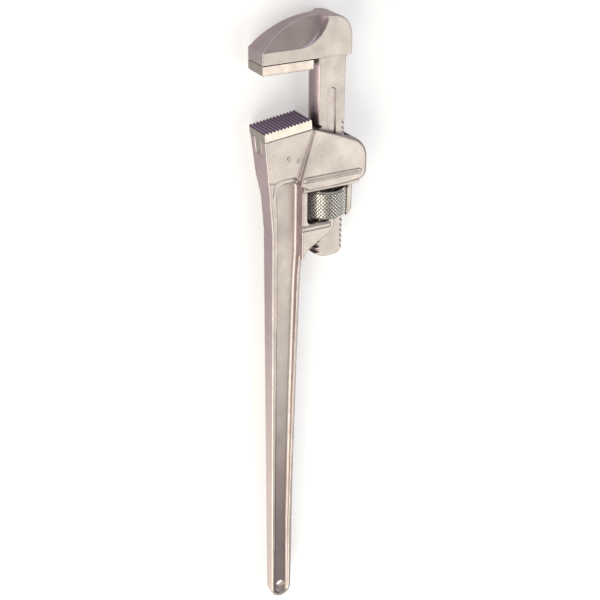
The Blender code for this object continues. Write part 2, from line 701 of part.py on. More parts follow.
def make_flat_spring(finish):
    stations = [RIVET_X - 4.0 + 2.0 * step for step in range(22)]
    back = [(x, leaf_y(x)) for x in stations]
    face = [(x, leaf_y(x) + LEAF_THICK) for x in reversed(stations)]
    leaf = plate("flat_spring", back + face, -LEAF_HALF, LEAF_HALF)
    cut(leaf, cylinder("leaf_hole", (RIVET_X, -10, 0), (RIVET_X, 5, 0), 1.5 + GAP))
    return as_part(leaf, finish)


def make_spring_rivet(finish):
    shank = cylinder("spring_rivet", (RIVET_X, -9.0, 0), (RIVET_X, -1.0, 0), 1.5)
    head_start = CHANNEL_FRONT_Y + GAP + LEAF_THICK + GAP
    head = cylinder("rivet_head", (RIVET_X, head_start, 0), (RIVET_X, head_start + 1.2, 0), 2.6)
    return as_part(join(shank, head), finish)


def make_coil_spring(finish):
    """A short compression spring in the pocket behind the leaf."""
    start_y = POCKET_FLOOR_Y + COIL_WIRE + GAP
    end_y = leaf_y(COIL_X) - COIL_WIRE - 2 * GAP
    steps = COIL_TURNS * 16
    curve = bpy.data.curves.new("coil_spring", "CURVE")
    curve.dimensions = "3D"
    curve.bevel_depth = COIL_WIRE * MM
    curve.bevel_resolution = 2
    curve.use_fill_caps = True
    line = curve.splines.new("POLY")
    line.points.add(steps)
    for step, point in enumerate(line.points):
        turn = math.tau * step / 16
        place = (COIL_X + COIL_RADIUS * math.cos(turn), start_y + (end_y - start_y) * step / steps,
                 MIDPLANE + COIL_RADIUS * math.sin(turn))
        point.co = (place[0] * MM, place[1] * MM, place[2] * MM, 1)
    thing = bpy.data.objects.new("coil_spring", curve)
    bpy.context.scene.collection.objects.link(thing)
    return as_part(mesh_of_curve(thing), finish)


def main():
    clear_scene()
    new_collection("pipe_wrench")
    new_collection("cutters")
    cast = material("cast_metal", (0.62, 0.56, 0.50), 0.85, 0.42)
    forged = material("forged_jaw", (0.64, 0.59, 0.52), 0.85, 0.38)
    toothed = material("toothed_insert", (0.70, 0.56, 0.52), 0.8, 0.40)
    knurled = material("nut_steel", (0.80, 0.76, 0.66), 1.0, 0.22)
    spring = material("spring_steel", (0.30, 0.30, 0.32), 1.0, 0.30)
    pin = material("pin_steel", (0.50, 0.48, 0.45), 1.0, 0.35)
    make_casting(cast)
    make_heel_jaw(forged)
    make_heel_pins(pin)
    make_hook_jaw(forged)
    make_hook_insert(toothed)
    make_nut(knurled)
    make_flat_spring(spring)
    make_coil_spring(spring)
    make_spring_rivet(pin)


main()
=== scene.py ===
"""Looks of a straight pipe wrench lying on one broad face, laid out as a Blender add-on.

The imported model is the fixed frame: +X runs from the hook jaw to the handle's end, the jaws open
towards -Y, and +Z is the thickness. Lengths are in metres.
"""
import math

import bpy
import numpy as np
from mathutils import Matrix, Vector


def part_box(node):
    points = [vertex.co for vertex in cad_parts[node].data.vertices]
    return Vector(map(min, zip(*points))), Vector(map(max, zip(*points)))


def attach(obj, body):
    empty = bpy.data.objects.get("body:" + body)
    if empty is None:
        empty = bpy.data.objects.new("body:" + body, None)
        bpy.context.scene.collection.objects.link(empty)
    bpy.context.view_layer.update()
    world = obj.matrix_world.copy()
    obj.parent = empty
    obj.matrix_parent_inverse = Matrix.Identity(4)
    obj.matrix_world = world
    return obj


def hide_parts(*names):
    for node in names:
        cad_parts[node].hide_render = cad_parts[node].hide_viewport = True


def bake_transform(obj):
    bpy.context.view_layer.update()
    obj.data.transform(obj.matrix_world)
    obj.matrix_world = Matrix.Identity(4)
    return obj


bl_info = {
    "name": "Pipe wrench",
    "version": (1, 0, 0),
    "blender": (4, 5, 0),
    "location": "View3D > Sidebar > Wrench",
    "description": "Finishes a straight pipe wrench: castings, jaws, knurled nut, springs and stage",
    "category": "Object",
}

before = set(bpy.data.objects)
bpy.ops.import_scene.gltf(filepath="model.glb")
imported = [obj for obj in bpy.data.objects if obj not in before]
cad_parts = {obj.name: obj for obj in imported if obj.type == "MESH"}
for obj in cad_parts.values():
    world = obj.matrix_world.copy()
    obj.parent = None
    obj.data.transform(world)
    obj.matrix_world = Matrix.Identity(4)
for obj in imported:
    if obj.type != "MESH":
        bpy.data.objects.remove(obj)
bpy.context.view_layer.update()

# Places read from the frame
NUT_LOW, NUT_HIGH = (Vector(corner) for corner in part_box("adjusting_nut"))
NUT_CENTRE = (NUT_LOW + NUT_HIGH) / 2
NUT_LENGTH = NUT_HIGH.x - NUT_LOW.x
NUT_RADIUS = (NUT_HIGH.y - NUT_LOW.y) / 2
MIDPLANE = NUT_CENTRE.z
HEEL_LOW, HEEL_HIGH = (Vector(corner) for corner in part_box("heel_jaw"))
INSERT_HIGH = Vector(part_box("hook_jaw_insert")[1])

# Mesh settings
WELD = 0.000005                     # vertices closer than this are merged
CAST_PASSES = 9                     # smoothing passes on the sand casting
FORGED_PASSES = 3
MACHINED_PASSES = 1
NUT_BORE = 0.0158                   # radius
NUT_CHAMFER = 0.0006                # the end faces' drop below the knurl's root
KNURL_STEPS = 8                     # mesh steps across one diamond
KNURL_FLATS = 2.0                   # how much of each diamond's top is flat, 1 for a sharp point
KNURL_RUN_OUT = 0.0004              # plain band inside each chamfer
LEAF_BEVEL = 0.00018


# ---------------------------------------------------------------- settings

class WrenchSizes(bpy.types.PropertyGroup):
    """Sizes of the fine detail."""
    cast_grid: bpy.props.FloatProperty(
        name="Casting grid", description="Mesh size that rounds the casting's edges",
        default=0.0005, unit="LENGTH")
    jaw_grid: bpy.props.FloatProperty(
        name="Hook jaw grid", description="Mesh size that rounds the hook jaw's edges",
        default=0.00045, unit="LENGTH")
    tooth_grid: bpy.props.FloatProperty(
        name="Teeth grid", description="Mesh size of the toothed pieces",
        default=0.0003, unit="LENGTH")
    insert_teeth: bpy.props.FloatProperty(
        name="Insert teeth", description="Depth of the insert's teeth", default=0.0016, unit="LENGTH")
    heel_teeth: bpy.props.FloatProperty(
        name="Heel teeth", description="Depth of the heel jaw's teeth", default=0.0019, unit="LENGTH")
    heel_lean: bpy.props.FloatProperty(
        name="Heel lean", description="How far the heel's toothed face leans back",
        default=math.radians(7.81), subtype="ANGLE")
    most_faces: bpy.props.IntProperty(
        name="Most faces", description="Triangles left on a rounded piece", default=190000)
    knurl_depth: bpy.props.FloatProperty(
        name="Knurl depth", description="Height of the nut's diamonds",
        default=0.0008, unit="LENGTH")
    knurl_starts: bpy.props.IntProperty(
        name="Knurl starts", description="Diamonds round the nut", default=36)
    knurl_pitch: bpy.props.FloatProperty(
        name="Knurl pitch", description="Length of one diamond along the nut",
        default=0.0033, unit="LENGTH")
    knurl_margin: bpy.props.FloatProperty(
        name="Plain margin", description="Plain band and chamfer at each end of the nut",
        default=0.0011, unit="LENGTH")


class WrenchColours(bpy.types.PropertyGroup):
    """Colours of the finishes."""
    broad_face: bpy.props.FloatVectorProperty(
        name="Broad faces", description="Polished broad faces of the castings",
        default=(0.70, 0.632, 0.572), subtype="COLOR", size=3)
    # Painted shade on the narrow sides and the dished cuts.
    flank_shade: bpy.props.FloatVectorProperty(
        name="Flanks", description="Duller narrow sides and dished cuts",
        default=(0.315, 0.250, 0.262), subtype="COLOR", size=3)
    # Painted shade in inside corners and on surfaces that face the wrench's back.
    crevice_and_back_shade: bpy.props.FloatVectorProperty(
        name="Grime", description="Dirt in inside corners and on the wrench's back",
        default=(0.115, 0.080, 0.105), subtype="COLOR", size=3)
    # Lighter flank colour towards the handle's end, where the painted flank shade fades.
    handle_flank_shade: bpy.props.FloatVectorProperty(
        name="Handle flanks", description="Paler flanks towards the handle's end",
        default=(0.66, 0.56, 0.50), subtype="COLOR", size=3)
    speckle: bpy.props.FloatVectorProperty(
        name="Cast speckle", description="Dull specks in the sand-cast skin",
        default=(0.30, 0.25, 0.23), subtype="COLOR", size=3)
    forged_speckle: bpy.props.FloatVectorProperty(
        name="Forged speckle", description="Dull specks on the forging",
        default=(0.32, 0.27, 0.25), subtype="COLOR", size=3)
    pit: bpy.props.FloatVectorProperty(
        name="Pits", description="Dark pits in the casting",
        default=(0.16, 0.12, 0.11), subtype="COLOR", size=3)
    # Bright worn metal on outside edges, partly a painted highlight.
    worn_edge_highlight: bpy.props.FloatVectorProperty(
        name="Worn edges", description="Bright metal on outside edges",
        default=(0.95, 0.90, 0.82), subtype="COLOR", size=3)
    # Painted shade on the web's floor, growing towards the handle's end.
    recess_shade: bpy.props.FloatVectorProperty(
        name="Web", description="Duller floor of the handle's web towards its end",
        default=(0.26, 0.20, 0.21), subtype="COLOR", size=3)
    insert: bpy.props.FloatVectorProperty(
        name="Insert", description="Toothed insert of the hook jaw",
        default=(0.80, 0.70, 0.62), subtype="COLOR", size=3)
    heel_side: bpy.props.FloatVectorProperty(
        name="Heel jaw side", description="Ground sides of the heel jaw",
        default=(0.86, 0.78, 0.68), subtype="COLOR", size=3)
    # Painted shade on the tips of the teeth.
    tooth_tip_shade: bpy.props.FloatVectorProperty(
        name="Tooth tips", description="Worn tips of the teeth",
        default=(0.205, 0.140, 0.215), subtype="COLOR", size=3)
    # Painted shade, darker, between the teeth.
    tooth_valley_shade: bpy.props.FloatVectorProperty(
        name="Tooth valleys", description="Dark finish between the teeth",
        default=(0.022, 0.012, 0.030), subtype="COLOR", size=3)
    knurl: bpy.props.FloatVectorProperty(
        name="Knurled nut", description="Bright steel of the nut",
        default=(1.0, 0.96, 0.88), subtype="COLOR", size=3)
    # Darker colour in the knurl's valleys.
    knurl_valley: bpy.props.FloatVectorProperty(
        name="Knurl valleys", description="Dirt between the nut's diamonds",
        default=(0.035, 0.02, 0.03), subtype="COLOR", size=3)
    pin_dark: bpy.props.FloatVectorProperty(
        name="Pins, darker", description="Darker part of the pins' ends",
        default=(0.44, 0.39, 0.35), subtype="COLOR", size=3)
    pin_pale: bpy.props.FloatVectorProperty(
        name="Pins, paler", description="Paler part of the pins' ends",
        default=(0.60, 0.54, 0.48), subtype="COLOR", size=3)
    spring: bpy.props.FloatVectorProperty(
        name="Springs", description="Blued spring steel",
        default=(0.16, 0.16, 0.19), subtype="COLOR", size=3)


class WrenchStage(bpy.types.PropertyGroup):
    """Camera, floor and lights."""
    lens: bpy.props.FloatProperty(
        name="Lens", description="Focal length on a 36 mm sensor", default=75.5)
    distance: bpy.props.FloatProperty(
        name="Distance", description="Camera's distance from its aim", default=1.1569, unit="LENGTH")
    aim: bpy.props.FloatVectorProperty(
        name="Aim", description="Point in the middle of the picture",
        default=(-0.0335, -0.007, 0.0185), subtype="XYZ", size=3)
    turn: bpy.props.FloatProperty(
        name="Turn", description="Camera's turn from the broad face towards the jaw opening",
        default=math.radians(29.13), subtype="ANGLE")
    lift: bpy.props.FloatProperty(
        name="Lift", description="Camera's lift towards the hook jaw",
        default=math.radians(26.54), subtype="ANGLE")
    roll: bpy.props.FloatProperty(
        name="Roll", description="Camera's roll", default=math.radians(0.476), subtype="ANGLE")
    floor: bpy.props.FloatVectorProperty(
        name="Floor", description="Colour of the floor",
        default=(0.93, 0.93, 0.93), subtype="COLOR", size=3)
    floor_glow: bpy.props.FloatProperty(
        name="Floor glow", description="Light that the floor gives off", default=0.30)
    room: bpy.props.FloatProperty(
        name="Room light", description="Strength of the white room round the wrench", default=0.28)


# ---------------------------------------------------------------- mesh helpers

def deselect_all():
    if bpy.context.mode != "OBJECT":
        bpy.ops.object.mode_set(mode="OBJECT")
    bpy.ops.object.select_all(action="DESELECT")


def make_active(thing):
    deselect_all()
    thing.select_set(True)
    bpy.context.view_layer.objects.active = thing


def welded_copy(node_name, name):
    """A new piece with a CAD node's shape, its loose triangles merged."""
    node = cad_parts[node_name]
    mesh = node.data.copy()
    mesh.transform(node.matrix_world)
    piece = bpy.data.objects.new(name, mesh)
    bpy.context.scene.collection.objects.link(piece)
    make_active(piece)
    bpy.ops.object.mode_set(mode="EDIT")
    bpy.ops.mesh.select_all(action="SELECT")
    bpy.ops.mesh.remove_doubles(threshold=WELD)
    bpy.ops.object.mode_set(mode="OBJECT")
    return piece


def apply_modifier(piece, kind, **settings):
    make_active(piece)
    step = piece.modifiers.new(kind.lower(), kind)
    for key, value in settings.items():
        setattr(step, key, value)
    bpy.ops.object.modifier_apply(modifier=step.name)


def soften(piece, grid, passes, most):
    """Round every edge a little, as casting and grinding leave them, then thin the flat parts."""
    apply_modifier(piece, "REMESH", mode="VOXEL", voxel_size=grid, use_smooth_shade=True)
    apply_modifier(piece, "SMOOTH", factor=0.5, iterations=passes)
    count = 2 * len(piece.data.polygons)
    if count > most:
        apply_modifier(piece, "DECIMATE", decimate_type="COLLAPSE", ratio=most / count)
    make_active(piece)
    bpy.ops.object.shade_smooth_by_angle(angle=math.radians(85))


def set_material(piece, material):
    piece.data.materials.clear()
    piece.data.materials.append(material)


def finish_piece(piece, material, body, slot, *nodes):
    """Give a piece its material and body, and hide the nodes it stands for."""
    set_material(piece, material)
    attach(piece, body)
    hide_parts(*nodes)


# ---------------------------------------------------------------- material helpers

def shade(colour, share=1.0):
    """A colour made lighter or darker by a share."""
    return tuple(share * part for part in colour)


class Finish:
    """A Principled material and short ways to add nodes to it."""

    def __init__(self, name, metallic, roughness):
        self.material = bpy.data.materials.new(name)
        self.material.use_nodes = True
        self.tree = self.material.node_tree
        self.shader = self.tree.nodes["Principled BSDF"]
        self.shader.inputs["Metallic"].default_value = metallic
        self.shader.inputs["Roughness"].default_value = roughness
        self.place = self.node("ShaderNodeTexCoord").outputs["Object"]
        self.geometry = self.node("ShaderNodeNewGeometry")

    def node(self, kind, **settings):
        made = self.tree.nodes.new(kind)
        for key, value in settings.items():
            setattr(made, key, value)
        return made

    def link(self, source, target):
        if isinstance(source, bpy.types.NodeSocket):
            self.tree.links.new(source, target)
        else:
            target.default_value = source

    def noise(self, scale, detail=3.0, roughness=0.55, stretch=None):
        made = self.node("ShaderNodeTexNoise")
        made.inputs["Scale"].default_value = scale
        made.inputs["Detail"].default_value = detail
        made.inputs["Roughness"].default_value = roughness
        source = self.place
        if stretch:
            mapping = self.node("ShaderNodeMapping")
            mapping.inputs["Scale"].default_value = stretch
            self.link(source, mapping.inputs["Vector"])
            source = mapping.outputs["Vector"]
        self.link(source, made.inputs["Vector"])
        return made.outputs["Fac"]

    def cells(self, scale):
        made = self.node("ShaderNodeTexVoronoi")
        made.inputs["Scale"].default_value = scale
        self.link(self.place, made.inputs["Vector"])
        return made.outputs["Distance"]

    def ramp(self, value, low, high, start=0.0, end=1.0):
        """value mapped from low..high onto start..end, clamped."""
        made = self.node("ShaderNodeMapRange", clamp=True)
        self.link(value, made.inputs["Value"])
        limits = {"From Min": low, "From Max": high, "To Min": start, "To Max": end}
        for socket, number in limits.items():
            made.inputs[socket].default_value = number
        return made.outputs["Result"]

    def maths(self, operation, first, second=0.0):
        made = self.node("ShaderNodeMath", operation=operation)
        self.link(first, made.inputs[0])
        self.link(second, made.inputs[1])
        return made.outputs["Value"]

    def mix(self, share, first, second):
        """Colour that goes from first to second as share goes from 0 to 1."""
        made = self.node("ShaderNodeMix", data_type="RGBA")
        self.link(share, made.inputs[0])
        for colour, socket in ((first, made.inputs[6]), (second, made.inputs[7])):
            if isinstance(colour, bpy.types.NodeSocket):
                self.link(colour, socket)
            else:
                socket.default_value = (*colour, 1.0)
        return made.outputs[2]

    def bump(self, height, distance, strength=1.0, under=None):
        made = self.node("ShaderNodeBump")
        made.inputs["Distance"].default_value = distance
        made.inputs["Strength"].default_value = strength
        self.link(height, made.inputs["Height"])
        if under is not None:
            self.link(under, made.inputs["Normal"])
        return made.outputs["Normal"]

    def patches(self, noise, low, high, first, second):
        """Two colours in soft patches."""
        return self.mix(self.ramp(noise, low, high), first, second)

    def times(self, first, second):
        return self.maths("MULTIPLY", first, second)

    def part_of(self, source, axis):
        made = self.node("ShaderNodeSeparateXYZ")
        self.link(source, made.inputs[0])
        return made.outputs[axis]

    def edges(self, low=0.52, high=0.60):
        """1 on outside edges, 0 elsewhere."""
        return self.ramp(self.geometry.outputs["Pointiness"], low, high)

    def crevices(self, low=0.43, high=0.485):
        """1 in inside corners and grooves, 0 elsewhere."""
        return self.ramp(self.geometry.outputs["Pointiness"], low, high, 1.0, 0.0)

    def flank_share(self, low, high):
        """1 where the surface faces sideways, 0 where it faces straight up or down."""
        tilt = self.maths("ABSOLUTE", self.part_of(self.geometry.outputs["Normal"], "Z"))
        return self.ramp(tilt, low, high, 1.0, 0.0)

    def back_shade_share(self, most):
        """Share of painted shade on surfaces that face the wrench's back, +Y."""
        return self.ramp(self.part_of(self.geometry.outputs["Normal"], "Y"), 0.12, 0.55, 0.0, most)

    def distance_along(self, point, way):
        """Distance from a point along a direction."""
        offset = self.node("ShaderNodeVectorMath", operation="SUBTRACT")
        self.link(self.place, offset.inputs[0])
        offset.inputs[1].default_value = point
        dot = self.node("ShaderNodeVectorMath", operation="DOT_PRODUCT")
        self.link(offset.outputs["Vector"], dot.inputs[0])
        dot.inputs[1].default_value = way
        return dot.outputs["Value"]

    def distance_from_axis(self, point):
        """Distance from a line along X through a point."""
        offset = self.node("ShaderNodeVectorMath", operation="SUBTRACT")
        self.link(self.place, offset.inputs[0])
        offset.inputs[1].default_value = point
        across = self.node("ShaderNodeVectorMath", operation="MULTIPLY")
        self.link(offset.outputs["Vector"], across.inputs[0])
        across.inputs[1].default_value = (0.0, 1.0, 1.0)
        length = self.node("ShaderNodeVectorMath", operation="LENGTH")
        self.link(across.outputs["Vector"], length.inputs[0])
        return length.outputs["Value"]

    def height_share(self, low, high):
        """0 near the middle plane, 1 far from it."""
        lift = self.maths("SUBTRACT", self.part_of(self.place, "Z"), MIDPLANE)
        return self.ramp(self.maths("ABSOLUTE", lift), low, high)

    def colour(self, source):
        self.link(source, self.shader.inputs["Base Color"])

    def roughness(self, source):
        self.link(source, self.shader.inputs["Roughness"])

    def normal(self, source):
        self.link(source, self.shader.inputs["Normal"])


# ---------------------------------------------------------------- materials

def cast_skin():
    """Silvery casting: bright broad faces, painted shade on the flanks, in the web's recess, in inside
    corners and on the back, bright worn edges that are partly a painted highlight, and a sand-cast
    grain.
    """
    colours = bpy.context.scene.wrench_colours
    made = Finish("cast_skin", 0.88, 0.42)
    blotch = made.noise(26.0, 5.0, 0.62)
    speckle = made.noise(420.0, 3.0, 0.6)
    broad = made.patches(blotch, 0.35, 0.68, shade(colours.broad_face, 0.80), shade(colours.broad_face))
    # Painted shade on the flanks, lightening towards the handle's end.
    flank_shade = made.patches(blotch, 0.3, 0.7, shade(colours.flank_shade), shade(colours.flank_shade, 1.3))
    place_x = made.part_of(made.place, "X")
    flank_shade = made.mix(made.ramp(place_x, -0.06, 0.16, 0.0, 0.75), flank_shade, shade(colours.handle_flank_shade))
    sideways = made.flank_share(0.35, 0.93)
    face = made.mix(sideways, broad, flank_shade)
    # Painted shade on the web's floor, growing towards the handle's end.
    recess_shade = made.times(made.maths("SUBTRACT", 1.0, made.height_share(0.0036, 0.0060)),
                        made.maths("SUBTRACT", 1.0, sideways))
    along = made.ramp(place_x, -0.02, 0.20, 0.12, 0.85)
    face = made.mix(made.times(recess_shade, along), face, shade(colours.recess_shade))
    # Painted shade on surfaces that face the wrench's back, +Y.
    face = made.mix(made.back_shade_share(0.75), face, shade(colours.crevice_and_back_shade, 1.5))
    face = made.mix(made.ramp(speckle, 0.58, 0.72, 0.0, 0.35), face, shade(colours.speckle))
    face = made.mix(made.ramp(made.cells(330.0), 0.0, 0.16, 0.45, 0.0), face, shade(colours.pit))
    # Painted shade in inside corners.
    face = made.mix(made.times(made.crevices(), 0.75), face, shade(colours.crevice_and_back_shade))
    # Bright worn edges, partly a painted highlight.
    made.colour(made.mix(made.times(made.edges(), 0.75), face, shade(colours.worn_edge_highlight)))
    rough = made.ramp(made.noise(60.0, 4.0), 0.3, 0.7, 0.34, 0.50)
    made.roughness(made.maths("SUBTRACT", rough, made.times(made.edges(), 0.12)))
    waves = made.bump(made.noise(85.0, 2.0), 0.0005, 0.35)
    grain = made.bump(made.noise(700.0, 4.0, 0.65), 0.00018, 0.55, waves)
    made.normal(made.bump(made.cells(330.0), 0.00012, 0.25, grain))
    return made.material


def forged_skin():
    """Hook jaw: satin forging with belt-ground broad faces, painted shade on the dished cuts, the narrow
    sides and in inside corners, and bright worn edges that are partly a painted highlight.
    """
    colours = bpy.context.scene.wrench_colours
    made = Finish("forged_skin", 0.9, 0.38)
    blotch = made.noise(34.0, 5.0, 0.6)
    broad = made.patches(blotch, 0.35, 0.68, shade(colours.broad_face, 0.70),
                         shade(colours.broad_face, 0.87))
    # Painted shade on the dished cuts and the narrow sides.
    dish = made.patches(blotch, 0.3, 0.7, shade(colours.flank_shade, 1.45), shade(colours.flank_shade, 1.95))
    wall = made.patches(blotch, 0.3, 0.7, shade(colours.flank_shade, 0.8), shade(colours.flank_shade, 1.1))
    face = made.mix(made.flank_share(0.90, 0.985), broad, dish)
    face = made.mix(made.flank_share(0.3, 0.8), face, wall)
    speckle = made.ramp(made.noise(480.0, 3.0), 0.58, 0.74, 0.0, 0.3)
    face = made.mix(speckle, face, shade(colours.forged_speckle))
    # Painted shade in inside corners.
    face = made.mix(made.times(made.crevices(), 0.8), face, shade(colours.crevice_and_back_shade))
    # Bright worn edges, partly a painted highlight.
    made.colour(made.mix(made.times(made.edges(0.515, 0.58), 0.75), face, shade(colours.worn_edge_highlight)))
    rough = made.ramp(made.noise(90.0, 3.0), 0.3, 0.7, 0.30, 0.44)
    made.roughness(made.maths("SUBTRACT", rough, made.times(made.edges(0.53, 0.62), 0.1)))
    grinding = made.bump(made.noise(160.0, 3.0, 0.6, (0.25, 4.0, 1.0)), 0.0001, 0.35)
    made.normal(made.bump(made.noise(800.0, 4.0, 0.6), 0.00012, 0.45, grinding))
    return made.material


def toothed_steel(name, colour, tip, inward, depth, strength):
    """Ground steel with painted shade on its toothed face, its tips a little lighter than the valleys.

    tip is a point on the line of tips, inward points from it into the steel, depth is the teeth's depth,
    and strength is how fully the painted shade covers the toothed face.
    """
    colours = bpy.context.scene.wrench_colours
    made = Finish(name, 0.9, 0.34)
    base = made.patches(made.noise(60.0, 4.0), 0.35, 0.7, shade(colour, 0.85), shade(colour))
    # Painted shade on the sideways faces.
    base = made.mix(made.flank_share(0.35, 0.9), base, shade(colour, 0.33))
    # Painted shade on the toothed face, darker in the valleys than on the tips.
    facing = made.node("ShaderNodeVectorMath", operation="DOT_PRODUCT")
    made.link(made.geometry.outputs["Normal"], facing.inputs[0])
    facing.inputs[1].default_value = shade(inward, -1.0)
    toothed = made.ramp(facing.outputs["Value"], 0.2, 0.4, 0.0, strength)
    teeth = made.patches(made.distance_along(tip, inward), 0.15 * depth, 0.6 * depth,
                         shade(colours.tooth_tip_shade), shade(colours.tooth_valley_shade))
    made.colour(made.mix(toothed, base, teeth))
    made.roughness(made.ramp(made.noise(150.0, 3.0), 0.3, 0.7, 0.26, 0.42))
    grinding = made.bump(made.noise(300.0, 3.0, 0.6, (3.0, 0.3, 1.0)), 0.00008, 0.4)
    made.normal(made.bump(made.noise(900.0, 3.0), 0.00006, 0.4, grinding))
    return made.material


def knurled_steel():
    """Bright nut, darker in the knurl's valleys."""
    colours = bpy.context.scene.wrench_colours
    sizes = bpy.context.scene.wrench_sizes
    made = Finish("knurled_steel", 1.0, 0.2)
    base = made.patches(made.noise(90.0, 4.0), 0.35, 0.7, shade(colours.knurl, 0.93),
                        shade(colours.knurl))
    # Darker colour in the knurl's valleys.
    reach = made.distance_from_axis(tuple(NUT_CENTRE))
    valley = made.ramp(reach, NUT_RADIUS - 0.80 * sizes.knurl_depth,
                       NUT_RADIUS - 0.30 * sizes.knurl_depth, 1.0, 0.0)
    along = made.maths("ABSOLUTE", made.distance_along(tuple(NUT_CENTRE), (1.0, 0.0, 0.0)))
    knurled = made.ramp(along, NUT_LENGTH / 2 - 1.4 * sizes.knurl_margin,
                        NUT_LENGTH / 2 - sizes.knurl_margin, 1.0, 0.15)
    made.colour(made.mix(made.times(valley, knurled), base, shade(colours.knurl_valley)))
    made.roughness(made.ramp(made.noise(240.0, 3.0), 0.3, 0.7, 0.20, 0.32))
    made.normal(made.bump(made.noise(1200.0, 3.0), 0.00004, 0.4))
    return made.material


def spring_steel():
    """Blued spring steel with drawn streaks."""
    colours = bpy.context.scene.wrench_colours
    made = Finish("spring_steel", 1.0, 0.3)
    streak = made.noise(220.0, 4.0, 0.6, (0.2, 3.0, 3.0))
    made.colour(made.patches(streak, 0.3, 0.7, shade(colours.spring), shade(colours.spring, 1.7)))
    made.roughness(made.ramp(made.noise(300.0), 0.3, 0.7, 0.24, 0.40))
    made.normal(made.bump(streak, 0.00005, 0.4))
    return made.material


def pin_steel():
    """Pins and rivet ground flush, a little darker than the casting round them."""
    colours = bpy.context.scene.wrench_colours
    made = Finish("pin_steel", 1.0, 0.34)
    mottle = made.noise(500.0, 3.0)
    made.colour(made.patches(mottle, 0.3, 0.7, shade(colours.pin_dark), shade(colours.pin_pale)))
    made.roughness(made.ramp(made.noise(700.0), 0.3, 0.7, 0.28, 0.42))
    made.normal(made.bump(mottle, 0.00005, 0.5))
    return made.material


def floor_paint(stage):
    """Matt pale floor, faintly mottled, that glows a little like a light table."""
    made = Finish("floor_paint", 0.0, 0.9)
    made.shader.inputs["Emission Color"].default_value = (1.0, 1.0, 1.0, 1.0)
    made.shader.inputs["Emission Strength"].default_value = stage.floor_glow
    made.colour(made.patches(made.noise(8.0, 2.0), 0.3, 0.7, shade(stage.floor, 0.99),
                             shade(stage.floor)))
    made.shader.inputs["Specular IOR Level"].default_value = 0.1
    return made.material


# ---------------------------------------------------------------- operators

class WRENCH_OT_casting(bpy.types.Operator):
    """Round the handle and housing casting and give it its cast skin"""
    bl_idname = "wrench.casting"
    bl_label = "Handle and housing"

    def execute(self, context):
        piece = welded_copy("handle_housing", "handle_casting")
        sizes = context.scene.wrench_sizes
        soften(piece, sizes.cast_grid, CAST_PASSES, sizes.most_faces)
        finish_piece(piece, cast_skin(), "handle", "cast_metal", "handle_housing")
        return {"FINISHED"}


class WRENCH_OT_hook_jaw(bpy.types.Operator):
    """Round the hook jaw's forging and finish its toothed insert"""
    bl_idname = "wrench.hook_jaw"
    bl_label = "Hook jaw"

    def execute(self, context):
        sizes = context.scene.wrench_sizes
        colours = context.scene.wrench_colours
        forging = welded_copy("hook_jaw", "hook_jaw_forging")
        soften(forging, sizes.jaw_grid, FORGED_PASSES, sizes.most_faces)
        finish_piece(forging, forged_skin(), "hook", "forged_jaw", "hook_jaw")
        insert = welded_copy("hook_jaw_insert", "hook_jaw_teeth")
        soften(insert, sizes.tooth_grid, MACHINED_PASSES, sizes.most_faces // 2)
        steel = toothed_steel("insert_steel", colours.insert, tuple(INSERT_HIGH), (-1.0, 0.0, 0.0),
                              sizes.insert_teeth, 0.6)
        finish_piece(insert, steel, "hook", "toothed_insert", "hook_jaw_insert")
        return {"FINISHED"}


class WRENCH_OT_heel_jaw(bpy.types.Operator):
    """Round the heel jaw's teeth and finish its pins"""
    bl_idname = "wrench.heel_jaw"
    bl_label = "Heel jaw"

    def execute(self, context):
        sizes = context.scene.wrench_sizes
        colours = context.scene.wrench_colours
        jaw = welded_copy("heel_jaw", "heel_jaw_teeth")
        soften(jaw, sizes.tooth_grid, MACHINED_PASSES, sizes.most_faces // 2)
        inward = (math.cos(sizes.heel_lean), math.sin(sizes.heel_lean), 0.0)
        tip = (HEEL_LOW.x, HEEL_HIGH.y, MIDPLANE)
        steel = toothed_steel("heel_steel", colours.heel_side, tip, inward, sizes.heel_teeth, 0.97)
        finish_piece(jaw, steel, "handle", "forged_jaw", "heel_jaw")
        steel_pin = pin_steel()
        for name in ("heel_jaw_pin_front", "heel_jaw_pin_rear", "spring_rivet"):
            set_material(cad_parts[name], steel_pin)
        return {"FINISHED"}


